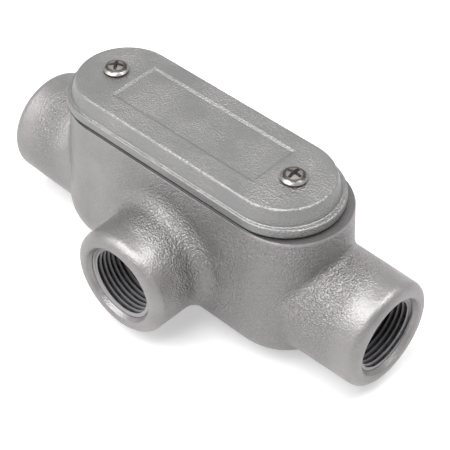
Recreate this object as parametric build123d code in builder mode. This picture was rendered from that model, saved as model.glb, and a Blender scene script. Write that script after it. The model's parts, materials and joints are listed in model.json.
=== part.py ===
from build123d import *
import os
from math import radians, tan

# A cast T conduit body: two threaded hubs in line, a third at right angles, and a screwed-on cover.
# Millimetres, +Z up through the cover. The origin is on the flat under the belly, straight below the
# point where the three hub axes cross. The run lies along X and the branch points along -Y.

# Hubs
thread_radius = 13.3        # root of the 3/4 inch conduit thread
thread_depth = 18.0         # face to the bushing that stops the conduit
hub_wall = 5.8              # metal round the thread, at the face
hub_draft = 1.0             # casting draft of the hub, degrees
hub_lip = 3.4               # rounding of the hub's outer lip
mouth_flare = 1.2           # machined mouth wider than the thread, at the face
mouth_depth = 1.8           # depth of the tapered mouth
mouth_edge = 0.4            # chamfer between the face and the mouth
stop_ledge = 3.0            # step from the thread in to the smooth throat
throat_edge = 2.0           # rounding that protects the wires
axis_height = 23.5          # hub axes above the flat that the body stands on
run_hub_length = 22.8       # end of the housing to the face of a run hub
branch_hub_length = 23.5    # side of the housing to the face of the branch hub

# Housing
housing_shift_x = 0.0       # middle of the housing along the run
housing_shift_y = -0.6      # middle of the housing across the run
rim_height = 55.8           # machined rim above the flat
rim_length = 112.4
rim_margin = 1.2            # rim's side outside the hub's radius
wall = 3.4
wall_draft = 3.3            # degrees, wider towards the belly
belly_radius = 16.2         # rounding of the belly
branch_blend = 6.0          # fillet between branch hub and housing
run_blend = 2.5             # fillet between run hubs and housing
rim_edge = 0.3              # chamfer that breaks the rim's outer edge

# Cover
cover_shift_x = -2.2        # middle of the cover along the run
cover_shift_y = -0.8        # middle of the cover across the run
cover_end_inset = 0.9       # cover shorter than the rim, at each end
cover_side_inset = 0.5      # cover narrower than the rim, at each side
flange_thickness = 2.9
flange_edge = 0.5           # rounding of the flange's upper edge
side_ledge = 1.0            # step between the flange's side and the raised middle
end_ledge = 1.9             # the same step at the cover's ends
dome_height = 5.5           # raised middle above the flange
dome_slope = 18.0           # degrees from upright
dome_shoulder = 1.0         # rounding at the top of the slope
dome_root = 0.5             # hollow rounding at the foot of the slope
cover_wall = 3.0
cover_land = 4.6            # width of the flat underside that presses on the gasket
panel_end_margin = 23.9     # end of the cover to the plain sunk panel
panel_side_margin = 9.6     # side of the cover to the panel
panel_depth = 0.4
panel_slope = 70.0          # slope of the panel's low walls, degrees from upright
fitting_shift_x = -0.6      # middle of the screws and the panel beside the cover's middle, along the run
fitting_shift_y = 0.4       # the same, across the run

# Gasket
gasket_thickness = 0.8
gasket_inset = 0.1          # gasket's edge inside the cover's edge
gasket_strip = 5.2          # width of the gasket's side strips

# Cover screws
screw_end_inset = 16.0      # end of the cover to the screw axis
screw_radius = 2.4          # outside of the number 10 thread
screw_length = 16.0         # under the head
screw_tip = 0.6             # chamfer at the tip
head_radius = 4.4
head_rim = 1.0              # height of the head's upright edge
head_height = 2.6
recess_width = 1.35         # one slot of the cross recess
recess_span = 5.4           # across the cross recess
recess_depth = 1.9
recess_taper = 14.0         # degrees
screw_turn_left = 36.0      # how far each head stands turned at rest, degrees
screw_turn_right = 2.0
running_gap = 0.06          # radial gap between screw and tapped hole
cover_hole_gap = 0.25       # radial gap between screw and cover
gasket_hole_gap = 0.5       # radial gap between screw and gasket

# Screw bosses inside the housing
boss_radius = 5.6
boss_height = 14.0
tapped_depth = 11.0
cover_pad_radius = 6.2      # pillar round each screw hole under the cover

# Sizes and places worked out from those above
hub_radius = thread_radius + hub_wall
mouth_radius = thread_radius + mouth_flare
throat_radius = thread_radius - stop_ledge
rim_width = 2 * (hub_radius + rim_margin)
run_reach = rim_length / 2 + run_hub_length
branch_reach = rim_width / 2 + branch_hub_length
cover_length = rim_length - 2 * cover_end_inset
cover_width = rim_width - 2 * cover_side_inset
screw_spacing = cover_length - 2 * screw_end_inset
crossing = Vector(0, 0, axis_height)
housing_centre = (housing_shift_x, housing_shift_y)
cover_centre = (cover_shift_x, cover_shift_y)
cover_underside = rim_height + gasket_thickness
flange_top = cover_underside + flange_thickness
cover_top = flange_top + dome_height
fitting_x = cover_shift_x + fitting_shift_x
fitting_y = cover_shift_y + fitting_shift_y
screw_places = [
    ("left", fitting_x - screw_spacing / 2, screw_turn_left),
    ("right", fitting_x + screw_spacing / 2, screw_turn_right),
]
screw_points = [(x, fitting_y) for side, x, turn in screw_places]
hubs = [
    (Vector(1, 0, 0), run_reach),
    (Vector(-1, 0, 0), run_reach),
    (Vector(0, -1, 0), branch_reach),
]

os.makedirs("parts", exist_ok=True)


def hub_plane(outward):
    """Upright plane through a hub's axis, with its X along the axis and its Y up."""
    return Plane(origin=crossing, x_dir=outward, z_dir=outward.rotate(Axis.Z, -90))


def hub_blank(outward, reach):
    """Add the outside of a hub: a drafted round bar with a rounded lip."""
    root_radius = hub_radius + reach * tan(radians(hub_draft))
    lip_start = reach - hub_lip
    with BuildSketch(hub_plane(outward)) as profile:
        with BuildLine():
            Polyline((0, 0), (0, root_radius), (lip_start, hub_radius))
            RadiusArc((lip_start, hub_radius), (reach, hub_radius - hub_lip), hub_lip)
            Polyline((reach, hub_radius - hub_lip), (reach, 0), (0, 0))
        make_face()
    revolve(profile.sketch, axis=Axis(crossing, outward))


def hub_bore(outward, reach):
    """Cut a hub's mouth, threaded length and smooth throat, through into the housing."""
    mouth_end = reach - mouth_depth
    stop = reach - thread_depth
    with BuildSketch(hub_plane(outward)) as profile:
        with BuildLine():
            Polyline(
                (0, 0),
                (reach, 0),
                (reach, mouth_radius),
                (mouth_end, thread_radius),
                (stop, thread_radius),
                (stop, throat_radius),
                (0, throat_radius),
                close=True,
            )
        make_face()
    revolve(profile.sketch, axis=Axis(crossing, outward), mode=Mode.SUBTRACT)


def circles_of(part, radius):
    """Round edges of one radius."""
    return part.edges().filter_by(GeomType.CIRCLE).filter_by(lambda edge: abs(edge.radius - radius) < 1e-4)


# Inside of the housing: the outside moved in by the wall
with BuildPart() as cavity:
    with BuildSketch(Plane.XY.offset(rim_height)):
        with Locations(housing_centre):
            SlotOverall(rim_length - 2 * wall, rim_width - 2 * wall)
    extrude(amount=-(rim_height - wall), taper=-wall_draft)
    fillet(cavity.edges().group_by(Axis.Z)[0], belly_radius - wall)

# Screw bosses: lugs that run from the end walls to the screws
with BuildPart() as bosses:
    with BuildSketch(Plane.XY.offset(rim_height)):
        with Locations(*screw_points):
            Circle(boss_radius)
        for x, y in screw_points:
            side = 1 if x > housing_shift_x else -1
            end = housing_shift_x + side * rim_length / 2
            with Locations(((x + end) / 2, y)):
                Rectangle(abs(end - x), 2 * boss_radius)
    extrude(amount=-boss_height)
    add(cavity.part, mode=Mode.INTERSECT)

with BuildPart() as body:
    # Drafted housing with a deep rounded belly
    with BuildSketch(Plane.XY.offset(rim_height)):
        with Locations(housing_centre):
            SlotOverall(rim_length, rim_width)
    extrude(amount=-rim_height, taper=-wall_draft)
    fillet(body.edges().group_by(Axis.Z)[0], belly_radius)
    chamfer(body.edges().group_by(Axis.Z)[-1], rim_edge)
    # Hubs, blended into the housing
    run_right, run_left, branch = hubs
    hub_blank(*branch)
    fillet(body.edges(Select.NEW), branch_blend)
    for hub in (run_right, run_left):
        hub_blank(*hub)
        fillet(body.edges(Select.NEW), run_blend)
    # Hollow with its screw bosses
    add(cavity.part, mode=Mode.SUBTRACT)
    add(bosses.part)
    with Locations(*[(x, y, rim_height) for x, y in screw_points]):
        Hole(screw_radius + running_gap, depth=tapped_depth)
    # Threaded mouths and smooth throats
    for hub in hubs:
        hub_bore(*hub)
    chamfer(circles_of(body, mouth_radius), mouth_edge)
    fillet(circles_of(body, throat_radius).filter_by(
        lambda edge: edge.arc_center.sub(crossing).length > branch_reach - thread_depth - 1
    ), throat_edge)

body.part.label = "body"
export_step(body.part, "parts/body.step")

with BuildPart() as gasket:
    gasket_width = cover_width - 2 * gasket_inset
    with BuildSketch(Plane.XY.offset(rim_height)):
        with Locations(cover_centre):
            SlotOverall(cover_length - 2 * gasket_inset, gasket_width)
            SlotOverall(
                screw_spacing - 2 * cover_pad_radius,
                gasket_width - 2 * gasket_strip,
                mode=Mode.SUBTRACT,
            )
        with Locations(*screw_points):
            Circle(screw_radius + gasket_hole_gap, mode=Mode.SUBTRACT)
    extrude(amount=gasket_thickness)

gasket.part.label = "gasket"
export_step(gasket.part, "parts/gasket.step")

with BuildPart() as cover:
    # Flange
    with BuildSketch(Plane.XY.offset(cover_underside)):
        with Locations(cover_centre):
            SlotOverall(cover_length, cover_width)
    extrude(amount=flange_thickness)
    fillet(cover.edges().group_by(Axis.Z)[-1], flange_edge)
    # Raised middle
    with BuildSketch(Plane.XY.offset(flange_top)):
        with Locations(cover_centre):
            SlotOverall(cover_length - 2 * end_ledge, cover_width - 2 * side_ledge)
    extrude(amount=dome_height, taper=dome_slope)
    fillet(cover.edges(Select.LAST).group_by(Axis.Z)[0], dome_root)
    fillet(cover.edges().group_by(Axis.Z)[-1], dome_shoulder)
    # Plain sunk panel
    with BuildSketch(Plane.XY.offset(cover_top)):
        with Locations((fitting_x, fitting_y)):
            Rectangle(cover_length - 2 * panel_end_margin, cover_width - 2 * panel_side_margin)
    extrude(amount=-panel_depth, taper=panel_slope, mode=Mode.SUBTRACT)
    # Hollow underside, apart from a pillar round each screw
    with BuildSketch(Plane.XY.offset(cover_underside)):
        with Locations(cover_centre):
            SlotOverall(cover_length - 2 * cover_land, cover_width - 2 * cover_land)
        with Locations(*screw_points):
            Circle(cover_pad_radius, mode=Mode.SUBTRACT)
    extrude(amount=cover_top - cover_wall - cover_underside, taper=dome_slope / 2, mode=Mode.SUBTRACT)
    with Locations(*[(x, y, cover_top) for x, y in screw_points]):
        Hole(screw_radius + cover_hole_gap)

cover.part.label = "cover"
export_step(cover.part, "parts/cover.step")

# Cover screws: domed head with a cross recess, shank at the outside of its thread
dome_rise = head_height - head_rim
dome_radius = (head_radius**2 + dome_rise**2) / (2 * dome_rise)
for side, x, turn in screw_places:
    with BuildPart() as screw:
        with BuildSketch(Plane(origin=(x, fitting_y, cover_top), x_dir=(1, 0, 0), z_dir=(0, -1, 0))):
            with BuildLine():
                Line((0, -screw_length), (0, head_height))
                RadiusArc((0, head_height), (head_radius, head_rim), dome_radius)
                Polyline(
                    (head_radius, head_rim),
                    (head_radius, 0),
                    (screw_radius, 0),
                    (screw_radius, screw_tip - screw_length),
                    (screw_radius - screw_tip, -screw_length),
                    (0, -screw_length),
                )
            make_face()
        revolve(axis=Axis((x, fitting_y, 0), (0, 0, 1)))
        with BuildSketch(Plane.XY.offset(cover_top + head_height)):
            with Locations(Location((x, fitting_y), turn)):
                Rectangle(recess_span, recess_width)
                Rectangle(recess_width, recess_span)
        extrude(amount=-recess_depth, taper=recess_taper, mode=Mode.SUBTRACT)
    screw.part.label = "screw_" + side
    export_step(screw.part, "parts/screw_" + side + ".step")
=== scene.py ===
import json
from math import cos, pi, radians, sin, tan

import bmesh
import bpy
from mathutils import Matrix, Vector


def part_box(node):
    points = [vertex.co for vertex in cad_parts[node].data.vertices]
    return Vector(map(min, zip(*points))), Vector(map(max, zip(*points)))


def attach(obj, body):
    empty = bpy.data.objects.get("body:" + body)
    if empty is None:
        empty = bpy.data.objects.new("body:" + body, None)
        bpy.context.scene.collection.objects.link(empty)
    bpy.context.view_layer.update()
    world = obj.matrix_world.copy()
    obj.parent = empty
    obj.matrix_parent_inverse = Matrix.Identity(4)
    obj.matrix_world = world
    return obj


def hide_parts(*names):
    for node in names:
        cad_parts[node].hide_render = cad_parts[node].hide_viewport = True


# Looks for the conduit body: conduit threads, threaded screws, cast and machined finishes, floor,
# light and camera. Lengths are in metres, the small ones written as millimetres times MM. A pair of
# numbers in brackets is the range over which something changes, or the range that it takes.

MM = 0.001
inch = 25.4                     # millimetres
weld = 1e-7                     # vertices nearer than this become one

# Conduit thread in each hub: taper thread, 14 turns to the inch
thread_pitch = inch / 14 * MM
thread_height = 1.4 * MM
thread_taper = 1 / 32           # radius lost for each unit of depth
lead_in = 74                    # degrees, chamfer that cuts the first turn down
stop_gap = 0.1 * MM             # last turn short of the stop
hub_turns = {"hub_right": 36, "hub_left": 0, "hub_branch": 180}    # degrees to each thread's start
lining_gap = 0.06 * MM          # lining's root inside the cast wall
lining_skin = 0.3 * MM          # lining's thickness at the root

# Cover screws, 24 turns to the inch
screw_pitch = inch / 24 * MM
screw_minor = 1.86 * MM
screw_major = 2.38 * MM
screw_point = 1.3 * MM          # radius at the chamfered tip
head_height = 2.6 * MM
head_rim = 1.0 * MM             # height of the head's edge below its dome
rim_round = 0.4 * MM            # rounding above that edge
seat_round = 0.8 * MM           # rounding below it
recess_width = 1.35 * MM
recess_span = 5.4 * MM
recess_depth = 1.9 * MM
recess_taper = 14               # degrees
steep = 0.6                     # rise of a face's normal, below which it is a wall of the recess
recess_turns = {"screw_left": 36, "screw_right": 2}

# Fineness of the meshes
round_steps = 96
rows_per_pitch = 16
dome_steps = 10
edge_steps = 5
smooth_angle = 32               # degrees, a sharper fold is shown as an edge

# Values of a noise: their centre, the middle ones, and most of them
noise_centre = 0.5
noise_middle = (0.35, 0.65)
noise_range = (0.3, 0.7)

# Tones as a photograph shows them, against linear ones
full_tone = 255
display_gamma = 2.2

# Cells of the cast skin
cell_drift = 2                  # size of the noise that bends the cells, in cells
cell_softness = 0.6
cell_slope = (0.1, 0.7)         # way out from a cell's middle, in cells

# Cast skin under the enamel
wrinkle_size = 0.8 * MM
wrinkle_detail = 1.5
wrinkle_warp = 0.6
wrinkle_slope = (0.0, 0.14)
wrinkle_share = 0.3
pebble_size = 0.68 * MM
pebble_warp = 1.0
pebble_share = 0.6
swell_size = 6 * MM
swell_share = 0.6
patch_size = 16 * MM
patch_range = (0.3, 0.65)
patch_relief = (0.45, 1.0)
grain_size = 0.4 * MM
grain_tint = 0.4                # share of the grain in the tint, the patches having the rest
valley_slope = (0.25, 0.6)
valley_shade = 0.82             # painted shade deep in the skin's valleys, against its crests

# Calm zones of the cast skin: relief against 1 elsewhere, and where it changes
lip_relief = 0.2
run_lip = (65 * MM, 73 * MM)    # from the middle of the run
branch_lip = (-38 * MM, -30 * MM)
left_relief = 0.3               # left part of the housing
left_start = (-61 * MM, -55 * MM)
left_end = (-32 * MM, -12 * MM)
rim_relief = 0.1
rim_calm = (-1.2 * MM, -0.4 * MM)    # from the rim's face

# Rim: painted shade against the enamel, where the cover's overhang shades it
rim_shade = 0.6                 # machined face, painted shade under the cover
bevel_shade = 0.12              # bevel round that face, painted dark as a shadow line under the gasket
face_depth = 0.04 * MM
bevel_depth = 0.33 * MM
bevel_end = (30 * MM, 44 * MM)  # along the run, where the bevel's painted shade gets weaker
bevel_shade_left = 0.15              # share of the bevel's painted shade left there

# Enamel: dark and light tone as the photograph shows them, and depth of the relief
body_tones = ((128, 127, 126), (146, 142, 143))
body_depth = 0.4 * MM
cover_tones = ((127, 128, 127), (138, 136, 136))
cover_depth = 0.18 * MM
enamel_rough = (0.35, 0.45)
enamel_metal = 0.8

# Screw steel: painted dark reflection and painted contact shadow by radius and by height over the
# seat, the radius bent by a stain noise that also makes stain blotches
steel_tones = ((72, 69, 67), (142, 139, 137))
steel_stain = 1.2 * MM
stain_bend = 1.2 * MM
mottle_detail = 3.0
blotch_range = (0.55, 0.8)
blotch_most = 0.4
ring_rise = (3.1 * MM, 3.5 * MM)    # bent radius over which the ring of painted dark reflection sets in
ring_fall = (4.1 * MM, 4.5 * MM)    # and over which it ends
crown_shade = 0.4               # share of the painted dark reflection on the crown, inside the ring
# height over the seat over which the painted contact shadow at the head's foot fades out
head_foot = (0.35 * MM, 0.75 * MM)
shank_start = -0.1 * MM         # below this the steel has no painted shadow
crown_to_edge = (3.4 * MM, 4.4 * MM)
crown_rough = 0.6
edge_rough = 0.28
steel_marks = 0.25 * MM
steel_relief = 0.02 * MM

# Cut thread of the hubs: painted shade in the roots by radius and by depth behind the mouth, and a
# painted shadow line at the mouth
cut_tones = ((54, 54, 60), (150, 148, 149))
root_top = 0.4                  # share of the ridge's height that takes the full painted shade, from the root up
# depth over which the painted root shade sets in
first_turn = (-1.0 * MM, -0.4 * MM)
# depth over which the painted shadow line at the mouth's edge sets in
mouth_shadow = (-0.1 * MM, -0.05 * MM)
root_shade_size = 2 * MM
root_shade_range = (0.2, 0.8)
least_root_shade = 0.7               # painted root shade where the noise weakens it most, against 1 where it is darkest
cut_marks = 0.3 * MM
cut_relief = 0.03 * MM
cut_rough = (0.38, 0.5)
cut_metal = 0.4

# Dull matter: gasket rubber and the painted shade in the recesses
rubber_tones = ((24, 23, 23), (48, 46, 45))
recess_tones = ((66, 60, 55), (104, 98, 92))
bloom_size = 3 * MM
bloom_detail = 4.0
bloom_range = (0.35, 0.7)
dull_grain = 0.5 * MM
dull_relief = 0.03 * MM
dull_rough = (0.7, 0.85)

# Camera, at the photograph's angle
view_azimuth = 42.31
view_elevation = 44.02
view_roll = 0.75
view_distance = 477.7 * MM
aim_right = 5.66 * MM           # aim point beside the crossing of the hub axes
aim_up = -2.19 * MM
lens = 112
sensor = 36

# Surroundings
world_light = 0.15
floor_size = 3.0
floor_tone = 0.8
floor_glow = 0.43
glow_fade = (0.18, 0.5)         # way from the object, over which the glow rises to plain white
lamp_distance = 0.7
softboxes = [                   # name, azimuth, elevation, side in metres, watts
    ("softbox_left", -35, 30, 0.45, 1.3),
    ("softbox_right", 128, 62, 0.3, 2.5),
    ("softbox_top", -18, 68, 0.6, 5.7),
]

# Sockets of the colour mixer, which shares its names between kinds of value
mix_amount = 0
mix_first = 6
mix_second = 7
mix_result = 2

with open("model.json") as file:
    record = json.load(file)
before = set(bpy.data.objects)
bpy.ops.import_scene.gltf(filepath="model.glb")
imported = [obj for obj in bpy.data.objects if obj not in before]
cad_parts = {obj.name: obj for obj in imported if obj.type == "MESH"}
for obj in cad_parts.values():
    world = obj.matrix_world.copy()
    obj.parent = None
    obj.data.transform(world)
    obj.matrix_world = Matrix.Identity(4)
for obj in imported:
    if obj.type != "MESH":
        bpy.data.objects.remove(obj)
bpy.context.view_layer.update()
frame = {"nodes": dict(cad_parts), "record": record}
hub_mounts = [mount for mount in frame["record"]["mounts"] if mount["kind"] == "threaded_hole"]
crossing = Vector((0, 0, hub_mounts[0]["pos_m"][2]))
thread_root = hub_mounts[0]["dims"]["r_mm"] * MM - lining_gap
cover_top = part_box("cover")[1].z
rim_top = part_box("body")[1].z


# Meshes turned round Z

def ring(bm, radius, z):
    """Add a ring of vertices round Z."""
    angles = [2 * pi * i / round_steps for i in range(round_steps)]
    return [bm.verts.new((radius * cos(angle), radius * sin(angle), z)) for angle in angles]


def band(bm, lower, upper):
    """Join two loops of as many vertices with faces."""
    for i in range(len(lower)):
        k = (i + 1) % len(lower)
        bm.faces.new((lower[i], lower[k], upper[k], upper[i]))


def ridge(phase):
    """Height of the thread across one pitch, from 0 at the root to 1 at the crest."""
    rise = 1 - abs(2 * phase - 1)
    flat = 2 / rows_per_pitch
    return min(max((rise - flat) / (1 - 2 * flat), 0), 1)


def helix_skin(bm, radius_at, low, high, pitch):
    """Add a right-hand threaded skin between two heights and return its lowest and highest ring."""
    rows = int((high - low) / pitch * rows_per_pitch) + 2 * rows_per_pitch
    columns = []
    for i in range(round_steps):
        turn = i / round_steps
        angle = 2 * pi * turn
        column = []
        for j in range(rows + 1):
            z = min(max(low + pitch * (j / rows_per_pitch + turn - 1), low), high)
            radius = radius_at(z, ridge(((z - low) / pitch - turn) % 1))
            column.append(bm.verts.new((radius * cos(angle), radius * sin(angle), z)))
        columns.append(column)
    for i in range(round_steps):
        here = columns[i]
        there = columns[(i + 1) % round_steps]
        shift = rows_per_pitch if i + 1 == round_steps else 0
        for j in range(rows - shift):
            bm.faces.new((here[j], there[j + shift], there[j + shift + 1], here[j + 1]))
    return [column[0] for column in columns], [column[-1] for column in columns]


def finish_mesh(bm, name, place):
    """Turn a mesh into an object at its place in the row frame."""
    bmesh.ops.remove_doubles(bm, verts=bm.verts, dist=weld)
    bmesh.ops.recalc_face_normals(bm, faces=bm.faces)
    bm.transform(place)
    mesh = bpy.data.meshes.new(name)
    bm.to_mesh(mesh)
    bm.free()
    piece = bpy.data.objects.new(name, mesh)
    bpy.context.scene.collection.objects.link(piece)
    return piece


def smooth(mesh):
    """Shade a mesh smooth, apart from its sharp folds."""
    mesh.polygons.foreach_set("use_smooth", [True] * len(mesh.polygons))
    mesh.set_sharp_from_angle(angle=radians(smooth_angle))


# Conduit threads

def hub_place(mount):
    """Place of a hub's thread: its Z runs out along the axis from the middle of the thread."""
    up = Vector((0, 0, 1))
    outward = Vector(mount["axis"])
    place = Matrix((up, outward.cross(up), outward)).transposed().to_4x4()
    place.translation = mount["pos_m"]
    return place


def make_conduit_thread(mount, material):
    """Threaded lining of a hub, from its mouth to the stop."""
    half = mount["dims"]["length_mm"] * MM / 2
    turned = Matrix.Rotation(radians(hub_turns[mount["name"]]), 4, "Z")

    def thread_radius(z, rise):
        depth = half - z
        chamfer = thread_root - depth * tan(radians(lead_in))
        return max(thread_root - thread_taper * depth - thread_height * rise, chamfer)

    bm = bmesh.new()
    low = stop_gap - half
    inner_low, inner_high = helix_skin(bm, thread_radius, low, half, thread_pitch)
    outer_low = ring(bm, thread_root + lining_skin, low)
    outer_high = ring(bm, thread_root + lining_skin, half)
    band(bm, inner_low, outer_low)
    band(bm, outer_low, outer_high)
    band(bm, outer_high, inner_high)
    lining = finish_mesh(bm, mount["name"] + "_thread", hub_place(mount) @ turned)
    smooth(lining.data)
    lining.data.materials.append(material)
    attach(lining, "body")


# Cover screws

def make_recess_cutter():
    """Tapered cross that cuts the recess, round Z, from its floor to well above the head."""
    bm = bmesh.new()
    levels = []
    for z in (head_height - recess_depth, 2 * head_height):
        widening = (z - head_height) * tan(radians(recess_taper))
        arm = recess_span / 2 + widening
        half = recess_width / 2 + widening
        level = []
        for quarter in range(4):
            turn = Matrix.Rotation(quarter * pi / 2, 3, "Z")
            for corner in ((half, -half, z), (arm, -half, z), (arm, half, z)):
                level.append(bm.verts.new(turn @ Vector(corner)))
        levels.append(level)
    lower, upper = levels
    bm.faces.new(lower)
    bm.faces.new(upper)
    band(bm, lower, upper)
    return bm


def make_head(radius):
    """Domed head round Z with its seat at z 0, before the recess is cut."""
    dome_rise = head_height - head_rim
    dome_radius = (radius**2 + dome_rise**2) / (2 * dome_rise)
    dome_angle = (radius - rim_round) / dome_radius
    bm = bmesh.new()
    profile = [(screw_minor, 0)]
    for i in range(edge_steps + 1):
        angle = pi / 2 * i / edge_steps
        profile.append((radius - seat_round * (1 - sin(angle)), seat_round * (1 - cos(angle))))
    for i in range(dome_steps + 1):
        angle = dome_angle * (1 - i / (dome_steps + 1))
        profile.append((dome_radius * sin(angle), head_height - dome_radius * (1 - cos(angle))))
    rings = [ring(bm, *point) for point in profile]
    for lower, upper in zip(rings, rings[1:]):
        band(bm, lower, upper)
    bm.faces.new(rings[0])
    bm.faces.new(rings[-1])
    return bm


def cut(piece, cutter):
    """Cut one object from another and drop the cutter."""
    modifier = piece.modifiers.new("recess", "BOOLEAN")
    modifier.operation = "DIFFERENCE"
    modifier.object = cutter
    depsgraph = bpy.context.evaluated_depsgraph_get()
    piece.data = bpy.data.meshes.new_from_object(piece.evaluated_get(depsgraph))
    piece.modifiers.clear()
    bpy.data.objects.remove(cutter)


def mark_recess(mesh, place):
    """Give the walls and the floor of the recess the second material, its painted shade."""
    inward = place.inverted()
    for face in mesh.polygons:
        centre = inward @ face.center
        inside = centre.xy.length < recess_span / 2 and centre.z > 0
        face.material_index = int(inside and (face.normal.z < steep or centre.z < head_height / 2))


def make_screw(node, materials):
    """Cover screw with a threaded shank and a cross recess, in place of its plain solid."""
    low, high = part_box(node)
    length = cover_top - low.z
    place = Matrix.Translation(((low.x + high.x) / 2, (low.y + high.y) / 2, cover_top))
    turned = place @ Matrix.Rotation(radians(recess_turns[node]), 4, "Z")

    def shank_radius(z, rise):
        return min(screw_minor + (screw_major - screw_minor) * rise, screw_point + z + length)

    screw = finish_mesh(make_head((high.x - low.x) / 2), node + "_threaded", place)
    cut(screw, finish_mesh(make_recess_cutter(), "recess", turned))
    for material in materials:
        screw.data.materials.append(material)
    mark_recess(screw.data, place)
    bm = bmesh.new()
    bottom, top = helix_skin(bm, shank_radius, -length, head_rim / 2, screw_pitch)
    bm.faces.new(bottom)
    bm.faces.new(top)
    shank = finish_mesh(bm, "shank", place)
    bm = bmesh.new()
    bm.from_mesh(screw.data)
    bm.from_mesh(shank.data)
    bm.to_mesh(screw.data)
    bm.free()
    bpy.data.objects.remove(shank)
    smooth(screw.data)
    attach(screw, node)
    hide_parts(node)


# Shader nodes

def new_node(tree, kind, sockets=(), **settings):
    """Add a node, with values or links for its sockets."""
    node = tree.nodes.new(kind)
    for name, value in settings.items():
        setattr(node, name, value)
    for name, value in dict(sockets).items():
        if isinstance(value, bpy.types.NodeSocket):
            tree.links.new(value, node.inputs[name])
        else:
            node.inputs[name].default_value = value
    return node


def calc(tree, operation, *values):
    """Add a maths node and return its result."""
    sockets = dict(enumerate(values))
    return new_node(tree, "ShaderNodeMath", sockets, operation=operation).outputs[0]


def vector(tree, operation, *values):
    """Add a vector maths node."""
    return new_node(tree, "ShaderNodeVectorMath", dict(enumerate(values)), operation=operation)


def axes(tree, place):
    """X, Y and Z of a place."""
    return new_node(tree, "ShaderNodeSeparateXYZ", {"Vector": place}).outputs


def spread(tree, value, low, high, to_low=0.0, to_high=1.0):
    """Map a value's range smoothly onto another."""
    sockets = {"Value": value, "From Min": low, "From Max": high, "To Min": to_low, "To Max": to_high}
    return new_node(tree, "ShaderNodeMapRange", sockets, interpolation_type="SMOOTHSTEP").outputs[0]


def noise(tree, place, size, detail=2.0, warp=0.0):
    """Noise with features of about one size."""
    sockets = {"Vector": place, "Scale": 1 / size, "Detail": detail, "Distortion": warp}
    return new_node(tree, "ShaderNodeTexNoise", sockets).outputs["Fac"]


def cells(tree, place, size, warp):
    """Rounded cells of about one size, 1 in the middle of each and 0 in the valleys between them."""
    sockets = {"Vector": place, "Scale": 1 / (cell_drift * size)}
    drift = new_node(tree, "ShaderNodeTexNoise", sockets).outputs["Color"]
    bent = vector(tree, "MULTIPLY_ADD", drift, (warp * size,) * 3, place).outputs[0]
    sockets = {"Vector": bent, "Scale": 1 / size, "Smoothness": cell_softness}
    away = new_node(tree, "ShaderNodeTexVoronoi", sockets, feature="SMOOTH_F1").outputs["Distance"]
    return spread(tree, away, *cell_slope, 1.0, 0.0)


def mix(tree, amount, first, second, blend_type="MIX"):
    """Colour that an amount of 0 takes from the first and an amount of 1 from the second."""
    sockets = {mix_amount: amount, mix_first: first, mix_second: second}
    node = new_node(tree, "ShaderNodeMix", sockets, data_type="RGBA", blend_type=blend_type)
    return node.outputs[mix_result]


def darken(tree, amount, colour, shade):
    """Colour that an amount of 1 takes down to a share of itself."""
    return mix(tree, amount, colour, (shade, shade, shade, 1), "MULTIPLY")


def grey(red, green, blue):
    """Linear colour from the 0 to 255 values that a photograph shows."""
    return (*((value / full_tone) ** display_gamma for value in (red, green, blue)), 1)


def new_material(name):
    """Material with its tree, its shader and the place of a point in the row frame."""
    material = bpy.data.materials.new(name)
    material.use_nodes = True
    tree = material.node_tree
    shader = tree.nodes["Principled BSDF"]
    place = new_node(tree, "ShaderNodeTexCoord").outputs["Object"]
    return material, tree, shader, place


def set_surface(tree, shader, colour, roughness, metallic=0.0):
    """Set what a shader's surface is like."""
    tree.links.new(colour, shader.inputs["Base Color"])
    tree.links.new(roughness, shader.inputs["Roughness"])
    shader.inputs["Metallic"].default_value = metallic


def add_relief(tree, shader, height, depth):
    """Bump a shader by a height from 0 to 1 that stands for a depth in metres."""
    bump = new_node(tree, "ShaderNodeBump", {"Height": height, "Distance": depth})
    tree.links.new(bump.outputs[0], shader.inputs["Normal"])


# Materials

def calm_zones(tree, place):
    """Strength of the cast skin's relief: weaker by the hub faces, the rim and the housing's left."""
    x, y, z = axes(tree, place)
    by_run_face = spread(tree, calc(tree, "ABSOLUTE", x), *run_lip, 1.0, lip_relief)
    by_branch_face = spread(tree, y, *branch_lip, lip_relief, 1.0)
    into_left = spread(tree, x, *left_start, 1.0, left_relief)
    out_of_left = spread(tree, x, *left_end, left_relief, 1.0)
    housing = calc(tree, "MAXIMUM", into_left, out_of_left)
    low, high = rim_calm
    rim = spread(tree, z, rim_top + low, rim_top + high, 1.0, rim_relief)
    hubs = calc(tree, "MINIMUM", by_run_face, by_branch_face)
    return calc(tree, "MULTIPLY", calc(tree, "MULTIPLY", hubs, housing), rim)


def rim_parts(tree, place):
    """Shares of the rim's machined face and of its bevel that take painted shade from the cover; the
    bevel's is weaker at the right end.
    """
    x, _, z = axes(tree, place)
    face = calc(tree, "GREATER_THAN", z, rim_top - face_depth)
    bevel = calc(tree, "SUBTRACT", calc(tree, "GREATER_THAN", z, rim_top - bevel_depth), face)
    return face, calc(tree, "MULTIPLY", bevel, spread(tree, x, *bevel_end, 1.0, bevel_shade_left))


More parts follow.
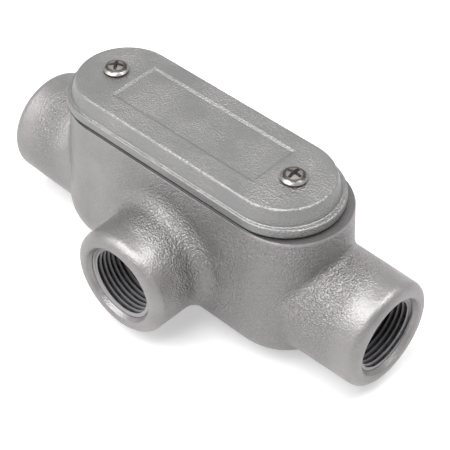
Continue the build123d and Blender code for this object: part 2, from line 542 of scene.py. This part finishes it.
def make_enamel(name, tones, depth, calm=False):
    """Satin aluminium enamel over a leathery cast skin, with the body's calm zones and painted shade
    in the skin's valleys and on the rim, or without.
    """
    material, tree, shader, place = new_material(name)
    creases = noise(tree, place, wrinkle_size, wrinkle_detail, wrinkle_warp)
    folds = calc(tree, "ABSOLUTE", calc(tree, "SUBTRACT", creases, noise_centre))
    wrinkles = calc(tree, "MULTIPLY", spread(tree, folds, *wrinkle_slope, 1.0, 0.0), wrinkle_share)
    pebbles = calc(tree, "MULTIPLY", cells(tree, place, pebble_size, pebble_warp), pebble_share)
    swell = calc(tree, "MULTIPLY", noise(tree, place, swell_size), swell_share)
    patches = noise(tree, place, patch_size)
    grain = noise(tree, place, grain_size)
    strength = spread(tree, patches, *patch_range, *patch_relief)
    if calm:
        strength = calc(tree, "MULTIPLY", strength, calm_zones(tree, place))
    skin = calc(tree, "ADD", wrinkles, pebbles)
    height = calc(tree, "ADD", calc(tree, "MULTIPLY", skin, strength), swell)
    add_relief(tree, shader, height, depth)
    broad = calc(tree, "MULTIPLY", patches, 1 - grain_tint)
    tint = calc(tree, "ADD", broad, calc(tree, "MULTIPLY", grain, grain_tint))
    dark, light = tones
    colour = mix(tree, spread(tree, tint, *noise_middle), grey(*dark), grey(*light))
    if calm:
        # painted shade in the skin's valleys, as strong as the relief there
        shaded_valleys = calc(tree, "MULTIPLY", spread(tree, skin, *valley_slope, 1.0, 0.0), strength)
        # painted shade on the rim's face under the cover, and a painted shadow line on its bevel
        face, bevel = rim_parts(tree, place)
        colour = darken(tree, shaded_valleys, colour, valley_shade)
        colour = darken(tree, face, colour, rim_shade)
        colour = darken(tree, bevel, colour, bevel_shade)
    roughness = spread(tree, grain, *noise_range, *enamel_rough)
    set_surface(tree, shader, colour, roughness, enamel_metal)
    return material


def make_screw_steel(node):
    """Plated steel of a screw: a dull crown with some painted dark reflection, a ring of painted dark
    reflection round it, a bright edge, a painted contact shadow at its foot and stain blotches.
    """
    material, tree, shader, place = new_material(node + "_steel")
    low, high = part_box(node)
    foot = Vector(((low.x + high.x) / 2, (low.y + high.y) / 2, cover_top))
    centred = vector(tree, "SUBTRACT", place, foot).outputs[0]
    across = vector(tree, "MULTIPLY", centred, (1, 1, 0)).outputs[0]
    radius = vector(tree, "LENGTH", across).outputs["Value"]
    _, _, z = axes(tree, centred)
    mottle = noise(tree, place, steel_stain, mottle_detail)
    uneven = calc(tree, "MULTIPLY_ADD", mottle, stain_bend, radius)
    rise = spread(tree, uneven, *ring_rise, crown_shade, 1.0)
    dark_reflection = calc(tree, "MULTIPLY", rise, spread(tree, uneven, *ring_fall, 1.0, 0.0))
    on_head = calc(tree, "GREATER_THAN", z, shank_start)
    foot_shadow = calc(tree, "MULTIPLY", on_head, spread(tree, z, *head_foot, 1.0, 0.0))
    blotches = spread(tree, mottle, *blotch_range, 0.0, blotch_most)
    # painted dark reflection and contact shadow, together with the stain blotches
    shade = calc(tree, "MAXIMUM", calc(tree, "MAXIMUM", dark_reflection, foot_shadow), blotches)
    add_relief(tree, shader, noise(tree, place, steel_marks), steel_relief)
    dark, light = steel_tones
    colour = mix(tree, shade, grey(*light), grey(*dark))
    roughness = spread(tree, uneven, *crown_to_edge, crown_rough, edge_rough)
    set_surface(tree, shader, colour, roughness, 1.0)
    return material


def make_cut_thread(mount):
    """Tapped metal of a hub: light crests over roots with painted shade, and a painted shadow line at
    the mouth's edge.
    """
    material, tree, shader, place = new_material(mount["name"] + "_metal")
    axis = Vector(mount["axis"])
    mouth = Vector(mount["pos_m"]) + axis * mount["dims"]["length_mm"] * MM / 2
    centred = vector(tree, "SUBTRACT", place, crossing).outputs[0]
    across = vector(tree, "MULTIPLY", centred, [1 - abs(round(part)) for part in axis]).outputs[0]
    radius = vector(tree, "LENGTH", across).outputs["Value"]
    inward = vector(tree, "SUBTRACT", place, mouth).outputs[0]
    depth = vector(tree, "DOT_PRODUCT", inward, axis).outputs["Value"]
    crest = thread_root - thread_height
    # painted shade in the roots past the first turn, and a painted shadow line at the mouth
    root = spread(tree, radius, crest, thread_root - root_top * thread_height)
    root = calc(tree, "MULTIPLY", root, spread(tree, depth, *first_turn, 1.0, 0.0))
    root = calc(tree, "MAXIMUM", root, spread(tree, depth, *mouth_shadow))
    mottle = noise(tree, place, root_shade_size, mottle_detail)
    root_shade_share = spread(tree, mottle, *root_shade_range, 1.0, least_root_shade)
    unshaded = calc(tree, "SUBTRACT", 1.0, calc(tree, "MULTIPLY", root, root_shade_share))
    marks = noise(tree, place, cut_marks)
    add_relief(tree, shader, marks, cut_relief)
    dark, light = cut_tones
    colour = mix(tree, unshaded, grey(*dark), grey(*light))
    set_surface(tree, shader, colour, spread(tree, marks, *noise_range, *cut_rough), cut_metal)
    return material


def make_dull(name, tones):
    """Dull matter with a faint dusty bloom: the gasket's rubber, or the painted shade in the screw
    recesses.
    """
    material, tree, shader, place = new_material(name)
    bloom = noise(tree, place, bloom_size, bloom_detail)
    grain = noise(tree, place, dull_grain)
    add_relief(tree, shader, grain, dull_relief)
    dark, light = tones
    colour = mix(tree, spread(tree, bloom, *bloom_range), grey(*dark), grey(*light))
    set_surface(tree, shader, colour, spread(tree, grain, *noise_range, *dull_rough))
    return material


def dress(node, material):
    """Give a CAD node its material."""
    mesh = frame["nodes"][node].data
    mesh.materials.clear()
    mesh.materials.append(material)


# Surroundings

def plain_rays(tree):
    """1 for a ray that the camera, a reflection or clear matter sends."""
    rays = new_node(tree, "ShaderNodeLightPath").outputs
    seen = calc(tree, "MAXIMUM", rays["Is Camera Ray"], rays["Is Glossy Ray"])
    return calc(tree, "MAXIMUM", seen, rays["Is Transmission Ray"])


def make_world():
    """Even light all round, and white where the camera or a reflection looks past the object."""
    world = bpy.data.worlds.new("studio")
    bpy.context.scene.world = world
    world.use_nodes = True
    tree = world.node_tree
    strength = calc(tree, "MULTIPLY_ADD", plain_rays(tree), 1 - world_light, world_light)
    tree.links.new(strength, tree.nodes["Background"].inputs["Strength"])
    tree.nodes["Background"].inputs["Color"].default_value = (1, 1, 1, 1)


def make_floor():
    """Wide floor that keeps the object's shadow and fades to plain white farther out."""
    bm = bmesh.new()
    bmesh.ops.create_grid(bm, x_segments=1, y_segments=1, size=floor_size)
    floor = finish_mesh(bm, "floor", Matrix.Identity(4))
    material = bpy.data.materials.new("floor")
    material.use_nodes = True
    tree = material.node_tree
    tree.nodes.remove(tree.nodes["Principled BSDF"])
    tone = (floor_tone, floor_tone, floor_tone, 1)
    matt = new_node(tree, "ShaderNodeBsdfDiffuse", {"Color": tone})
    place = new_node(tree, "ShaderNodeTexCoord").outputs["Object"]
    away = vector(tree, "LENGTH", place).outputs["Value"]
    whiteness = spread(tree, away, *glow_fade, floor_glow, 1.0)
    strength = calc(tree, "MULTIPLY", plain_rays(tree), whiteness)
    glow = new_node(tree, "ShaderNodeEmission", {"Strength": strength})
    both = new_node(tree, "ShaderNodeAddShader", {0: matt.outputs[0], 1: glow.outputs[0]})
    tree.links.new(both.outputs[0], tree.nodes["Material Output"].inputs["Surface"])
    floor.data.materials.append(material)


def direction(azimuth, elevation):
    """Way from the object: azimuth 0 is in front of the branch, 90 off the right hub."""
    turn, rise = radians(azimuth), radians(elevation)
    return Vector((sin(turn) * cos(rise), -cos(turn) * cos(rise), sin(rise)))


def make_softbox(name, azimuth, elevation, side, power):
    """Square soft light that faces the object."""
    light = bpy.data.lights.new(name, "AREA")
    light.size = side
    light.energy = power
    lamp = bpy.data.objects.new(name, light)
    bpy.context.scene.collection.objects.link(lamp)
    towards = direction(azimuth, elevation)
    lamp.location = crossing + towards * lamp_distance
    lamp.rotation_euler = towards.to_track_quat("Z", "Y").to_euler()


def make_camera():
    """Camera at the photograph's angle."""
    back = direction(view_azimuth, view_elevation)
    roll = Matrix.Rotation(radians(view_roll), 3, back)
    right = roll @ Vector((0, 0, 1)).cross(back).normalized()
    up = back.cross(right)
    camera = bpy.data.objects.new("camera", bpy.data.cameras.new("camera"))
    camera.data.lens = lens
    camera.data.sensor_width = sensor
    camera.matrix_world = Matrix((right, up, back)).transposed().to_4x4()
    camera.location = crossing + back * view_distance + right * aim_right + up * aim_up
    bpy.context.scene.collection.objects.link(camera)
    bpy.context.scene.camera = camera


bpy.context.scene.view_settings.view_transform = "Standard"
make_camera()
make_world()
make_floor()
for softbox in softboxes:
    make_softbox(*softbox)

dress("body", make_enamel("body_enamel", body_tones, body_depth, calm=True))
dress("cover", make_enamel("cover_enamel", cover_tones, cover_depth))
dress("gasket", make_dull("rubber", rubber_tones))
recess_shade = make_dull("recess_shade", recess_tones)
for mount in hub_mounts:
    make_conduit_thread(mount, make_cut_thread(mount))
for screw_node in recess_turns:
    make_screw(screw_node, (make_screw_steel(screw_node), recess_shade))
